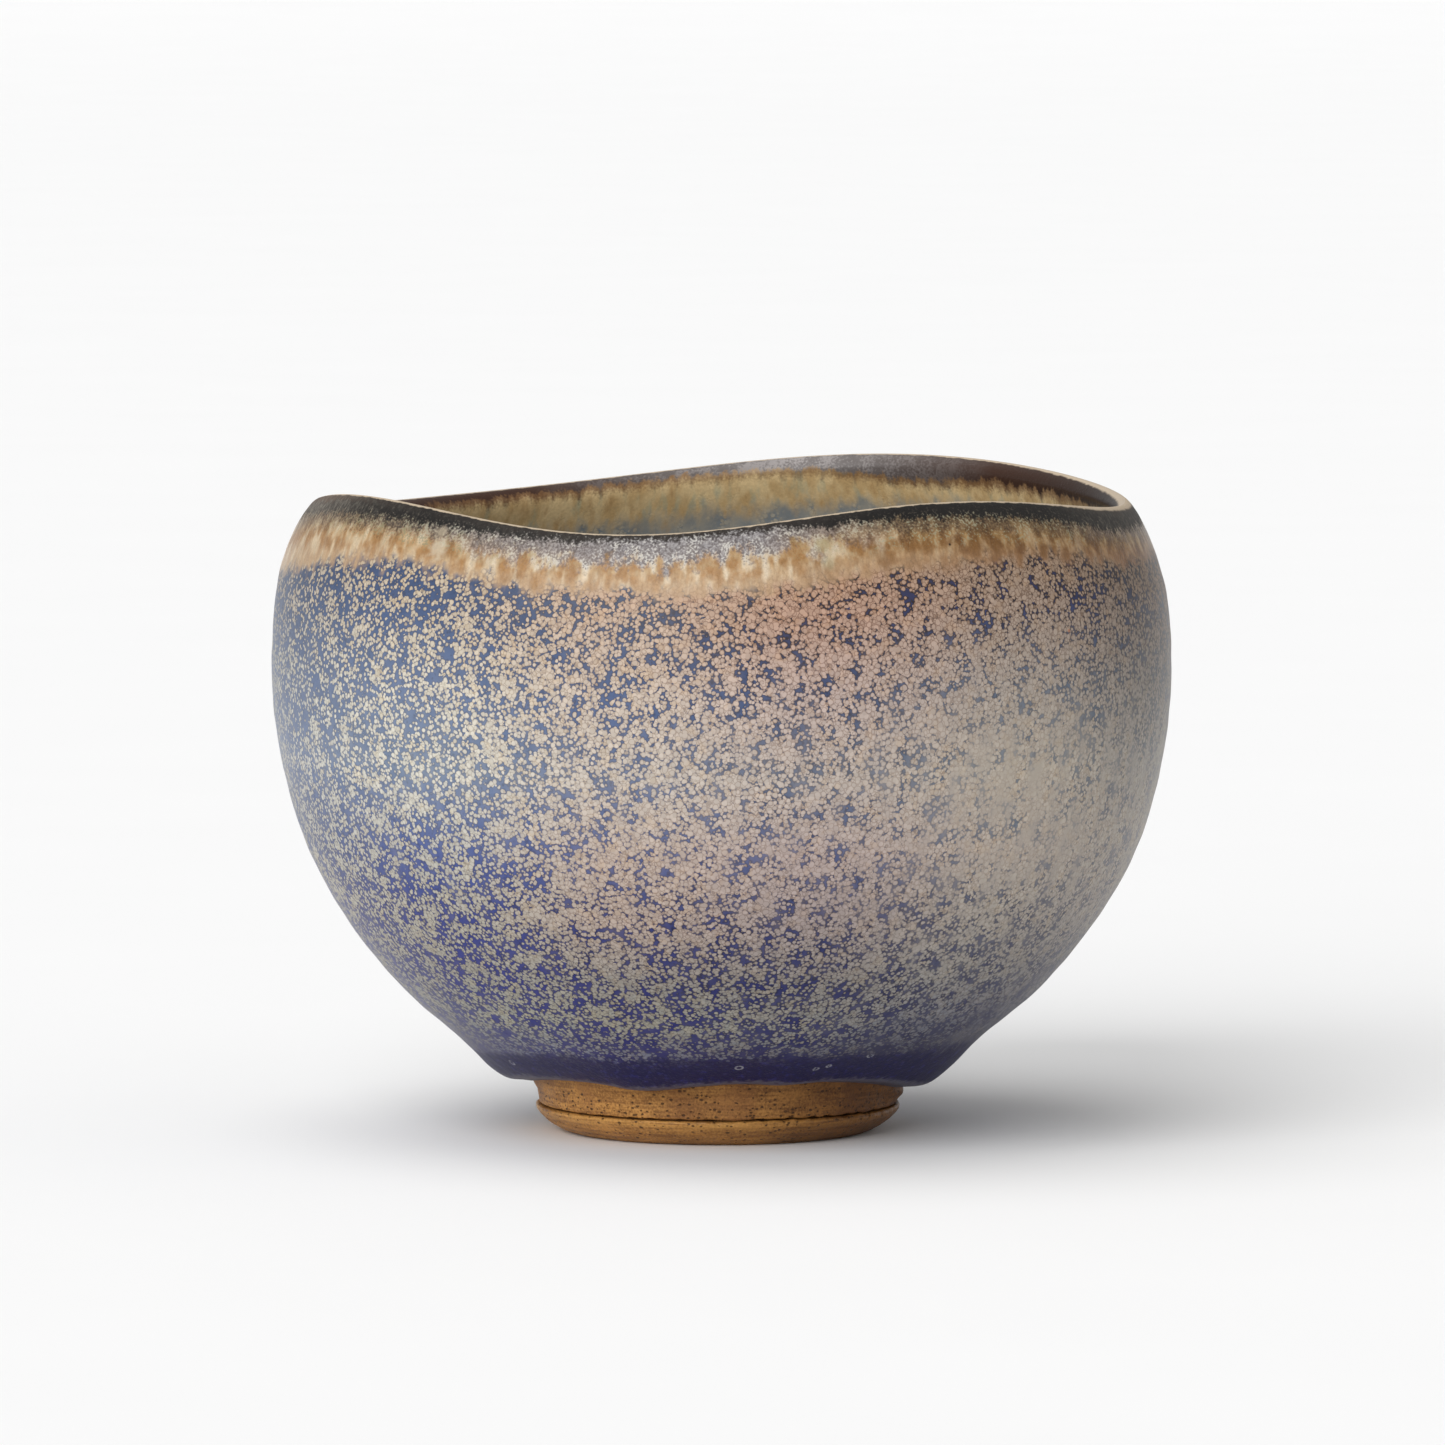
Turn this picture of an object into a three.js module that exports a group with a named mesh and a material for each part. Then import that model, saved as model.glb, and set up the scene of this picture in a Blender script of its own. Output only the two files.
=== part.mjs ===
// Hand-thrown tea bowl (chawan) for whisked green tea, in millimetres, +Z up.
// The origin is the centre of the flat face of the foot ring that the bowl stands on, and -Y is its front.
// The bowl is one thrown clay body with a foot ring luted under its neck, and three fired glaze coats:
// the speckled coat outside, the coat inside, and the iron coat that wraps the lip.
// The coats and the clay follow one curve, the glazed surface, each at its own depth under it.

import * as THREE from "three";

// Driving dimensions
const SEGMENTS = 56;
const GAP = 0.3;
const COAT = 0.5;

// The glazed surface as [radius, height]: from the heel beside the neck, up the outside, over the lip,
// and down the inside to the middle of the floor.
const GLAZED_SURFACE = [
  [24.7, 6.3],
  [27.1, 6.6],
  [29.2, 7.9],
  [33.8, 12.4],
  [41.0, 18.7],
  [48.3, 27.4],
  [53.8, 37.6],
  [57.1, 50.5],
  [58.0, 61.4],
  [56.9, 71.5],
  [53.4, 80.4],
  [51.8, 82.0],
  [50.3, 80.6],
  [53.3, 71.5],
  [54.1, 61.4],
  [52.5, 49.0],
  [47.6, 36.0],
  [38.6, 24.0],
  [27.0, 15.9],
  [17.5, 12.9],
  [13.0, 12.0],
  [0, 11.8],
];

// Waves round the bowl, each as [lobes, height, angle of a crest in degrees from +X].
const RIM_WAVES = [
  [1, 0.94, 8],
  [2, 0.99, 55],
  [3, 1.44, -48],
  [4, 0.64, 33],
  [5, 0.27, 2],
];
const HEEL_WAVES = [
  [1, 1.07, -95],
  [2, 0.58, -90],
  [3, 0.16, -35],
  [4, 0.33, -57],
];
const IRON_EDGE_WAVES = [
  [1, 1.2, -150],
  [7, 0.35, 30],
  [11, 0.25, 75],
];
const SLIP_WAVES = [
  [5, 0.12, 15],
  [9, 0.14, 20],
];

// The rim waves grow from the belly up to the lip.
const RIM_WAVE_BOTTOM = 42;
const RIM_WAVE_TOP = 82;

// The heel waves lift the glaze's lower edge and the top of the neck, and leave the foot and the floor flat.
const HEEL_LIFT = 0.6;
const HEEL_WAVE_BOTTOM = 4.0;
const HEEL_WAVE_CREST = 6.6;
const HEEL_WAVE_TOP = 15.0;
const HEEL_WAVE_INNER_RADIUS = 17;
const HEEL_WAVE_FULL_RADIUS = 23;

// The outside coat is thicker at the heel, where it ran down and stopped in a roll.
const ROLL_THICKNESS = 0.5;
const ROLL_WIDTH = 2.2;

// How far the iron coat runs down each side of the wall from the lip's crest.
const IRON_DEPTH_OUTSIDE = 8.7;
const IRON_DEPTH_INSIDE = 8.0;

// Neck, the recess under the floor and its small point in the middle
const NECK_TOP_RADIUS = 24.2;
const NECK_BOTTOM_RADIUS = 23.0;
const NECK_BOTTOM = 3.9;
const RECESS_RADIUS = 15.2;
const RECESS_TOP = 5.9;
const RECESS_FILLET = 1.0;
const RECESS_POINT_RADIUS = 4.0;
const RECESS_POINT_DROP = 0.6;

// Foot ring and the slip that holds it to the neck
const RING_HEIGHT = 3.0;
const RING_OUTER_RADIUS = 23.7;
const RING_INNER_RADIUS = 15.6;
const RING_TOP_ROUND = 0.5;
const BEVEL_RADIUS = 22.7;
const BEVEL_TOP = 1.9;
const REST_OUTER_RADIUS = 19.4;
const REST_INNER_RADIUS = 16.6;
const SLIP_RADIUS = 23.1;
const SLIP_BEAD = 0.3;

// Stretches of outline, as numbers of straight pieces
const WALL_STEPS = 14;
const FLOOR_STEPS = 14;
const IRON_STEPS = 10;
const HEEL_CROWDING = 1.3;

const surface = new THREE.CatmullRomCurve3(
  GLAZED_SURFACE.map(([radius, height]) => new THREE.Vector3(radius, height, 0)),
  false,
  "centripetal",
);
surface.arcLengthDivisions = 1000;
const SURFACE_LENGTH = surface.getLength();
const CREST = crestDistance();

// Distance along the glazed surface from the heel to the lip's highest point
function crestDistance() {
  const steps = 2000;
  let best = 0;
  for (let step = 0; step <= steps; step++) {
    if (surface.getPointAt(step / steps).y > surface.getPointAt(best / steps).y) best = step;
  }
  return (SURFACE_LENGTH * best) / steps;
}

// The point at a distance along the glazed surface, and at a depth under it, as [radius, height]
function underSurface(distance, depth) {
  const share = Math.min(distance / SURFACE_LENGTH, 1);
  const point = surface.getPointAt(share);
  const tangent = surface.getTangentAt(share);
  const radius = share < 1 ? point.x - depth * tangent.y : 0;
  return [radius, point.y + depth * tangent.x];
}

// Distances from start to end; a crowding above 1 sets them closer together near the start.
function stretch(start, end, steps, crowding = 1) {
  const shares = Array.from({ length: steps + 1 }, (_, step) => (step / steps) ** crowding);
  return shares.map((share) => start + (end - start) * share);
}

function waveHeight(waves, angle) {
  return waves.reduce((sum, [lobes, height, crest]) => {
    const turn = angle - THREE.MathUtils.degToRad(crest);
    return sum + height * Math.cos(lobes * turn);
  }, 0);
}

// A point of the evenly turned form, moved up or down by the waves of the rim and the heel
function moulded([radius, height], angle) {
  const { smoothstep } = THREE.MathUtils;
  const rimShare = smoothstep(height, RIM_WAVE_BOTTOM, RIM_WAVE_TOP);
  const heelRise = smoothstep(height, HEEL_WAVE_BOTTOM, HEEL_WAVE_CREST);
  const heelFall = 1 - smoothstep(height, HEEL_WAVE_CREST, HEEL_WAVE_TOP);
  const heelReach = smoothstep(radius, HEEL_WAVE_INNER_RADIUS, HEEL_WAVE_FULL_RADIUS);
  const heelHeight = HEEL_LIFT + waveHeight(HEEL_WAVES, angle);
  const lift = rimShare * waveHeight(RIM_WAVES, angle) + heelRise * heelFall * heelReach * heelHeight;
  return new THREE.Vector3(radius * Math.cos(angle), radius * Math.sin(angle), height + lift);
}

// A solid turned round the Z axis. outlineAt(angle) gives its outline as [radius, height] points with the
// solid on their left, always the same number of them. The outline starts and ends on the axis, or closes.
function turned(outlineAt) {
  const outline = outlineAt(0).map(([radius, height]) => new THREE.Vector2(radius, height));
  const geometry = new THREE.LatheGeometry(outline, SEGMENTS);
  const position = geometry.getAttribute("position");
  for (let segment = 0; segment <= SEGMENTS; segment++) {
    const angle = (2 * Math.PI * (segment % SEGMENTS)) / SEGMENTS;
    outlineAt(angle).forEach((corner, index) => {
      const point = moulded(corner, angle);
      position.setXYZ(segment * outline.length + index, point.x, point.y, point.z);
    });
  }
  geometry.computeVertexNormals();
  return geometry;
}

function closed(outline) {
  return [...outline, outline[0]];
}

function coatThickness(distance) {
  return COAT + ROLL_THICKNESS * Math.exp(-((distance / ROLL_WIDTH) ** 2));
}

function coatFace(distances) {
  return distances.map((distance) => underSurface(distance, 0));
}

function coatBack(distances) {
  return distances.map((distance) => underSurface(distance, coatThickness(distance))).reverse();
}

function clayFace(distances) {
  return distances.map((distance) => underSurface(distance, coatThickness(distance) + GAP));
}

function ironStretch(angle) {
  const wave = waveHeight(IRON_EDGE_WAVES, angle);
  return stretch(CREST - IRON_DEPTH_OUTSIDE - wave, CREST + IRON_DEPTH_INSIDE + wave, IRON_STEPS);
}

function outerStretch(angle) {
  return stretch(0, ironStretch(angle).at(0) - GAP, WALL_STEPS, HEEL_CROWDING);
}

function innerStretch(angle) {
  return stretch(ironStretch(angle).at(-1) + GAP, SURFACE_LENGTH, FLOOR_STEPS);
}

// Thrown wall, floor and neck, with the shallow recess under the floor
function clayBody() {
  const underside = [
    [0, RECESS_TOP - RECESS_POINT_DROP],
    [RECESS_POINT_RADIUS, RECESS_TOP],
    [RECESS_RADIUS - RECESS_FILLET, RECESS_TOP],
    [RECESS_RADIUS, RECESS_TOP - RECESS_FILLET],
    [RECESS_RADIUS, NECK_BOTTOM],
    [NECK_BOTTOM_RADIUS, NECK_BOTTOM],
    [NECK_TOP_RADIUS, underSurface(0, coatThickness(0)).at(1)],
  ];
  return turned((angle) => {
    const outside = outerStretch(angle).slice(0, -1);
    const inside = innerStretch(angle).slice(1);
    return [...underside, ...clayFace([...outside, ...ironStretch(angle), ...inside])];
  });
}

// Speckled coat, from the thick roll at the heel up to the iron coat
function outerGlaze() {
  return turned((angle) => {
    const distances = outerStretch(angle);
    return closed([...coatFace(distances), ...coatBack(distances)]);
  });
}

// Coat inside, from the iron coat down the wall and across the floor
function innerGlaze() {
  return turned((angle) => {
    const distances = innerStretch(angle);
    return [...coatBack(distances), ...coatFace(distances)];
  });
}

// Iron coat that wraps the lip and runs a little way down both sides of the wall
function rimGlaze() {
  return turned((angle) => {
    const distances = ironStretch(angle);
    return closed([...coatFace(distances), ...coatBack(distances)]);
  });
}

// Ring with a broad bevel outside, on which the bowl stands
function footRing() {
  const outline = closed([
    [REST_INNER_RADIUS, 0],
    [REST_OUTER_RADIUS, 0],
    [BEVEL_RADIUS, BEVEL_TOP],
    [RING_OUTER_RADIUS, RING_HEIGHT - RING_TOP_ROUND],
    [RING_OUTER_RADIUS - RING_TOP_ROUND, RING_HEIGHT],
    [RING_INNER_RADIUS, RING_HEIGHT],
  ]);
  return turned(() => outline);
}

// Thin bed of slip between the ring and the neck, squeezed out as an uneven bead
function lutingSlip() {
  const bottom = RING_HEIGHT + GAP;
  const top = NECK_BOTTOM - GAP;
  return turned((angle) => {
    const radius = SLIP_RADIUS + waveHeight(SLIP_WAVES, angle);
    return closed([
      [RING_INNER_RADIUS, bottom],
      [radius, bottom],
      [radius + SLIP_BEAD, (bottom + top) / 2],
      [radius, top],
      [RING_INNER_RADIUS, top],
    ]);
  });
}

function pieceOf(name, geometry, color, roughness) {
  const material = new THREE.MeshStandardMaterial({ color, roughness, metalness: 0 });
  const mesh = new THREE.Mesh(geometry, material);
  mesh.name = name;
  return mesh;
}

const bowl = new THREE.Group();
bowl.add(
  pieceOf("foot_ring", footRing(), 0x7b532e, 0.55),
  pieceOf("luting_slip", lutingSlip(), 0x5e3d22, 0.7),
  pieceOf("clay_body", clayBody(), 0x8e6941, 0.6),
  pieceOf("outer_glaze", outerGlaze(), 0x9c98a0, 0.35),
  pieceOf("inner_glaze", innerGlaze(), 0x66788c, 0.3),
  pieceOf("rim_glaze", rimGlaze(), 0x7a5a36, 0.4),
);

export default bowl;
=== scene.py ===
"""A hand-thrown tea bowl with a speckled blue glaze, an iron lip and a bare clay foot.

Every visible piece is a closed mesh turned round the Z axis, with the irregularities of a thrown pot.
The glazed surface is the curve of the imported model, whose nodes these pieces replace one for one.
The design is in millimetres. MM, measured on the frame, turns them into metres.
Directions round the bowl are in degrees from its front, and grow towards its right.
"""

import math

import bpy
import numpy as np
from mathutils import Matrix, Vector, noise


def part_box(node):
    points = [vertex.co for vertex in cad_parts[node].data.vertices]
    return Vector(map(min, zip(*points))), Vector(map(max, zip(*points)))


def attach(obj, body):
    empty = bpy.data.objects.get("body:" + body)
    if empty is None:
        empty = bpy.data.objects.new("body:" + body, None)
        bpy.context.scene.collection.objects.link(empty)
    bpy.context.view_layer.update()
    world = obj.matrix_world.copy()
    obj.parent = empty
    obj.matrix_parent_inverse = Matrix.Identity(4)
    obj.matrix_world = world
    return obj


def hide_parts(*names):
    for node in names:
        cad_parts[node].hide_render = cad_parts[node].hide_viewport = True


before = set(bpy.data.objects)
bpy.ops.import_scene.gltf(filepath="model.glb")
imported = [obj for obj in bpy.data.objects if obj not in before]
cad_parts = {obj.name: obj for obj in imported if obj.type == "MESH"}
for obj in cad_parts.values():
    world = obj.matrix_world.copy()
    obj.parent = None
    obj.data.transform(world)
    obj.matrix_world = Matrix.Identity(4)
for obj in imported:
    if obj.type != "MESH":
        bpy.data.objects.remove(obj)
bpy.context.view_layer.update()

# The glazed surface as (radius, height): from the heel up the outside, over the lip and down the inside.
# Its seen part was placed close to the outline in the photo. The rest is a guess.
GLAZED_SURFACE = (
    (24.7, 6.3), (27.1, 6.6), (29.2, 7.9), (33.8, 12.4), (41.0, 18.7), (48.3, 27.4),
    (53.8, 37.6), (57.1, 50.5), (58.0, 61.4), (56.9, 71.5), (53.4, 80.4), (51.8, 82.0),
    (50.3, 80.6), (53.3, 71.5), (54.1, 61.4), (52.5, 49.0), (47.6, 36.0), (38.6, 24.0),
    (27.0, 15.9), (17.5, 12.9), (13.0, 12.0), (0.0, 11.8),
)
WIDEST_RADIUS = 58.0
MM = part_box("outer_glaze")[1].x / WIDEST_RADIUS

# Waves round the bowl, each as (lobes, height, angle of a crest in degrees from +X). Those of the rim and
# the heel are the rounded output of least-squares fits, by scratch programs, to edges read off the photo.
RIM_WAVES = ((1, 0.94, 8), (2, 0.99, 55), (3, 1.44, -48), (4, 0.64, 33), (5, 0.27, 2))
HEEL_WAVES = ((1, 1.07, -95), (2, 0.58, -90), (3, 0.16, -35), (4, 0.33, -57))
HEEL_LIFT = 0.6
IRON_EDGE_WAVES = ((1, 1.2, -150), (7, 0.35, 30), (11, 0.25, 75))

# The rim waves grow from the belly up to the lip.
RIM_WAVE_BOTTOM = 42
RIM_WAVE_TOP = 82

# The heel waves move the glaze's lower edge and the neck's top. The floor stays nearly flat.
HEEL_WAVE_BOTTOM = 4.0
HEEL_WAVE_CREST = 6.6
HEEL_WAVE_TOP = 15.0
HEEL_WAVE_INNER_RADIUS = 17
HEEL_WAVE_FULL_RADIUS = 23

# Drips of the lower edge, each as (degrees, half width in degrees, height)
HEEL_DRIPS = (
    (-22, 9, -0.55), (4, 10, 0.25), (20, 7, -0.3),
    (75, 14, -0.3), (-130, 12, -0.5), (150, 9, -0.4),
)

# Places where the wall swells, each as (degrees, half width, height, half width, amount)
SWELLS = (
    (-90, 45, 76, 7, 0.55),
    (90, 40, 17, 6, 0.5),
    (-90, 40, 50, 9, 0.15),
    (90, 35, 62, 8, -0.2),
    (160, 50, 40, 14, 0.3),
)
SWELL_INNER_RADIUS = 12
SWELL_FULL_RADIUS = 26

# The foot is set a little to the left of the wall's axis. The shift fades out between two heights.
FOOT_LEAN = -0.6
LEAN_BOTTOM = 8
LEAN_TOP = 34

COAT = 0.5
ROLL_THICKNESS = 0.5
ROLL_WIDTH = 2.2
IRON_DEPTH_OUTSIDE = 8.7
IRON_DEPTH_INSIDE = 8.0

# Where the amber outside runs further down, each as (degrees, half width in degrees, distance)
AMBER_SWELLS = ((-38, 22, -1.8), (-80, 24, 1.3))

# Spacing of the grains in each layer of them
GRAIN_SIZES = (0.56, 0.66, 0.74, 0.82)

# Burst bubbles in the cobalt, each as (degrees, height on the even form, radius)
BURST_BUBBLES = (
    (5, 9.6, 0.45), (24, 9.2, 0.35), (27, 9.6, 0.3),
    (36, 11.5, 0.4), (-60, 9.0, 0.4), (150, 9.5, 0.45),
)

# Marks of the kiln on the wall, each as (degrees, height on the even form, radius, strength, colour)
KILN_MARKS = (
    (13.3, 78.6, 1.5, 0.45, (150, 146, 116)),
    (13.8, 76.4, 1.3, 0.4, (140, 138, 112)),
    (-40.4, 77.6, 2.0, 0.5, (192, 184, 164)),
    (-40.8, 79.6, 1.3, 0.4, (184, 170, 144)),
    (49.0, 66.5, 0.3, 0.7, (168, 96, 60)),
    (31.0, 77.0, 0.25, 1.0, (38, 26, 18)),
    (-142.0, 70.0, 1.4, 0.5, (150, 150, 124)),
    (118.0, 76.0, 1.5, 0.5, (184, 170, 144)),
)

# Outlines as (radius, height): the clay from the recess's middle to the glaze, the ring, and the slip
NECK = (
    (0.0, 5.3), (4.0, 5.9), (14.2, 5.9), (14.9, 5.6), (15.2, 4.9), (15.2, 3.58),
    (22.5, 3.58), (22.95, 3.6), (23.1, 3.72), (23.12, 4.1), (23.3, 5.3), (23.9, 6.4),
    (24.4, 7.4),
)
FOOT = (
    (16.0, 3.36), (15.7, 3.0), (15.8, 1.0), (16.5, 0.1), (17.0, 0.0), (19.1, 0.0),
    (19.6, 0.06), (20.4, 0.36), (21.4, 0.92), (22.3, 1.58), (23.0, 2.26), (23.4, 2.78),
    (23.52, 3.12), (23.45, 3.32), (23.2, 3.42), (22.6, 3.42), (16.0, 3.36),
)
SLIP = (
    (16.2, 3.44), (22.4, 3.44), (22.8, 3.46), (22.85, 3.5),
    (22.8, 3.54), (22.4, 3.56), (16.2, 3.56), (16.2, 3.44),
)

# How finely the outlines of the neck, the foot and the slip are divided
NECK_STEP = 0.25
FOOT_STEP = 0.22
SLIP_STEP = 0.15

# The seam of neck and ring: where it is most ragged, in degrees, and its radius
RAGGED_MIDDLE = 32
RAGGED_HALF_WIDTH = 36
SEAM_RADIUS = 23

# The coats' faces reach a little past the heel. The clay is set this gap under the coats' backs, but the
# backs have fewer rows than it, so the two still cross in places, out of sight.
HEEL_OVERRUN = -0.6
CLAY_GAP = 0.02

# Divisions round the bowl, and rows along each piece's outline
GLAZE_STEPS_AROUND = 480
FOOT_STEPS_AROUND = 720
SPECKLED_ROWS = 150
IRON_ROWS = 80
INSIDE_ROWS = 100
CLAY_ROWS = 150
FACE_ROWS_PER_BACK_ROW = 8
SHARP_ANGLE = math.radians(50)


# ---------------- form


def smoothstep(value, low, high):
    share = np.clip((value - low) / (high - low), 0.0, 1.0)
    return share * share * (3.0 - 2.0 * share)


def bell(value, middle, half_width):
    return np.exp(-(((value - middle) / half_width) ** 2))


def turn_from(angle, degrees):
    """Degrees between an angle from +X and one counted from the front, between -180 and 180."""
    return (np.degrees(angle) + 90.0 - degrees + 180.0) % 360.0 - 180.0


def wave_height(waves, angle):
    return sum(height * np.cos(lobes * (angle - math.radians(crest))) for lobes, height, crest in waves)


def centripetal_spline(points, steps=200):
    """Points along a centripetal Catmull-Rom spline through the given ones."""
    knots = np.array(points, float)
    knots = np.vstack([2 * knots[0] - knots[1], knots, 2 * knots[-1] - knots[-2]])
    share = np.linspace(0.0, 1.0, steps, endpoint=False)[:, None]
    out = []
    for before, start, end, after in zip(knots, knots[1:], knots[2:], knots[3:]):
        first = np.linalg.norm(start - before) ** 0.5
        middle = np.linalg.norm(end - start) ** 0.5
        last = np.linalg.norm(after - end) ** 0.5
        leave = (start - before) / first - (end - before) / (first + middle) + (end - start) / middle
        arrive = (end - start) / middle - (after - start) / (middle + last) + (after - end) / last
        leave, arrive = leave * middle, arrive * middle
        cubic = 2 * start - 2 * end + leave + arrive
        square = -3 * start + 3 * end - 2 * leave - arrive
        out.append(start + leave * share + square * share**2 + cubic * share**3)
    return np.vstack(out + [knots[-2][None, :]])


SURFACE = centripetal_spline(GLAZED_SURFACE)
SURFACE_AT = np.concatenate([[0.0], np.cumsum(np.linalg.norm(np.diff(SURFACE, axis=0), axis=1))])
SURFACE_LENGTH = SURFACE_AT[-1]
SURFACE_TANGENT = np.gradient(SURFACE, SURFACE_AT, axis=0)
CREST_INDEX = SURFACE[:, 1].argmax()
CREST = SURFACE_AT[CREST_INDEX]


def under_surface(distance, depth):
    """Radius and height at a distance along the glazed surface, and at a depth under it."""
    overrun = np.minimum(distance, 0.0)
    along = np.interp(distance, SURFACE_AT, SURFACE_TANGENT[:, 0])
    up = np.interp(distance, SURFACE_AT, SURFACE_TANGENT[:, 1])
    radius = np.interp(distance, SURFACE_AT, SURFACE[:, 0]) + overrun * along
    height = np.interp(distance, SURFACE_AT, SURFACE[:, 1]) + overrun * up
    return np.maximum(radius - depth * up, 0.0), height + depth * along


def heel_edge(angle):
    """How much higher the glaze's lower edge is at an angle than on the evenly turned form."""
    drips = sum(height * bell(turn_from(angle, at), 0, half) for at, half, height in HEEL_DRIPS)
    return HEEL_LIFT + wave_height(HEEL_WAVES, angle) + drips


def moulded(radius, height, angle):
    """Points in millimetres of the evenly turned form after the unevenness of hand and kiln."""
    heel_rise = smoothstep(height, HEEL_WAVE_BOTTOM, HEEL_WAVE_CREST)
    heel_fall = 1 - smoothstep(height, HEEL_WAVE_CREST, HEEL_WAVE_TOP)
    heel = heel_rise * heel_fall * smoothstep(radius, HEEL_WAVE_INNER_RADIUS, HEEL_WAVE_FULL_RADIUS)
    rim = smoothstep(height, RIM_WAVE_BOTTOM, RIM_WAVE_TOP)
    lifted = height + rim * wave_height(RIM_WAVES, angle) + heel * heel_edge(angle)
    swell = sum(
        amount * bell(turn_from(angle, at), 0, half) * bell(height, middle, tall)
        for at, half, middle, tall, amount in SWELLS
    )
    radius = radius + swell * smoothstep(radius, SWELL_INNER_RADIUS, SWELL_FULL_RADIUS)
    lean = FOOT_LEAN * (1 - smoothstep(height, LEAN_BOTTOM, LEAN_TOP))
    return np.stack([radius * np.cos(angle) + lean, radius * np.sin(angle), lifted], axis=-1)


def on_wall(degrees, height):
    """A point in millimetres on the outside of the wall."""
    radius = np.interp(height, SURFACE[:CREST_INDEX, 1], SURFACE[:CREST_INDEX, 0])
    return moulded(radius, np.float64(height), math.radians(degrees - 90.0)).tolist()


def angles_round(steps):
    return np.linspace(0.0, 2 * math.pi, steps, endpoint=False)[None, :]


def steps_between(start, end, rows, around):
    """(rows, around) values from start to end, each a number or one value for every angle."""
    share = np.linspace(0.0, 1.0, rows)[:, None]
    start = np.broadcast_to(start, (1, around))
    end = np.broadcast_to(end, (1, around))
    return start + (end - start) * share


def iron_edges(angle):
    wave = wave_height(IRON_EDGE_WAVES, angle)
    return CREST - IRON_DEPTH_OUTSIDE - wave, CREST + IRON_DEPTH_INSIDE + wave


def coat_thickness(distance):
    return COAT + ROLL_THICKNESS * bell(distance, 0, ROLL_WIDTH)


def add_fields(mesh, fields):
    for key, values in fields.items():
        kind, name = ("FLOAT", "value") if values.ndim == 1 else ("FLOAT_COLOR", "color")
        if values.ndim == 2:
            values = np.column_stack([values, np.ones(len(values))])
        layer = mesh.attributes.new(key, kind, "POINT")
        layer.data.foreach_set(name, np.ascontiguousarray(values, dtype=np.float32).ravel())


def corners_of(grid, closed):
    """One value for each vertex of a turned piece, from a (rows, around) grid."""
    if closed:
        return grid.reshape(-1, *grid.shape[2:])
    return np.concatenate([grid[:1, 0], grid[1:-1].reshape(-1, *grid.shape[2:]), grid[-1:, 0]])


def turned(name, radius, height, closed, fields=None):
    """A piece from (rows, around) arrays of radius and height, with the solid on the outline's left.

    A closed outline joins its last row to its first. An open one starts and ends on the axis, where
    its first and last rows shrink to one vertex each.
    """
    rows, around = radius.shape
    points = moulded(radius, height, angles_round(around)) * MM
    column = np.arange(around)
    after = np.roll(column, -1)
    if closed:
        index = np.arange(rows * around).reshape(rows, around)
        row = np.arange(rows)
    else:
        index = np.arange((rows - 2) * around).reshape(rows - 2, around) + 1
        row = np.arange(rows - 3)
    lower, upper = index[row], index[(row + 1) % len(index)]
    quads = np.stack([lower[:, column], lower[:, after], upper[:, after], upper[:, column]], axis=-1)
    faces = quads.reshape(-1, 4).tolist()
    if not closed:
        last = int(index[-1, -1]) + 1
        faces += [(0, int(index[0][b]), int(index[0][a])) for a, b in zip(column, after)]
        faces += [(last, int(index[-1][a]), int(index[-1][b])) for a, b in zip(column, after)]
    mesh = bpy.data.meshes.new(name)
    mesh.from_pydata(corners_of(points, closed).tolist(), [], faces)
    mesh.shade_smooth()
    mesh.set_sharp_from_angle(angle=SHARP_ANGLE)
    add_fields(mesh, {key: corners_of(values, closed) for key, values in (fields or {}).items()})
    piece = bpy.data.objects.new(name, mesh)
    bpy.context.scene.collection.objects.link(piece)
    return piece
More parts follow.
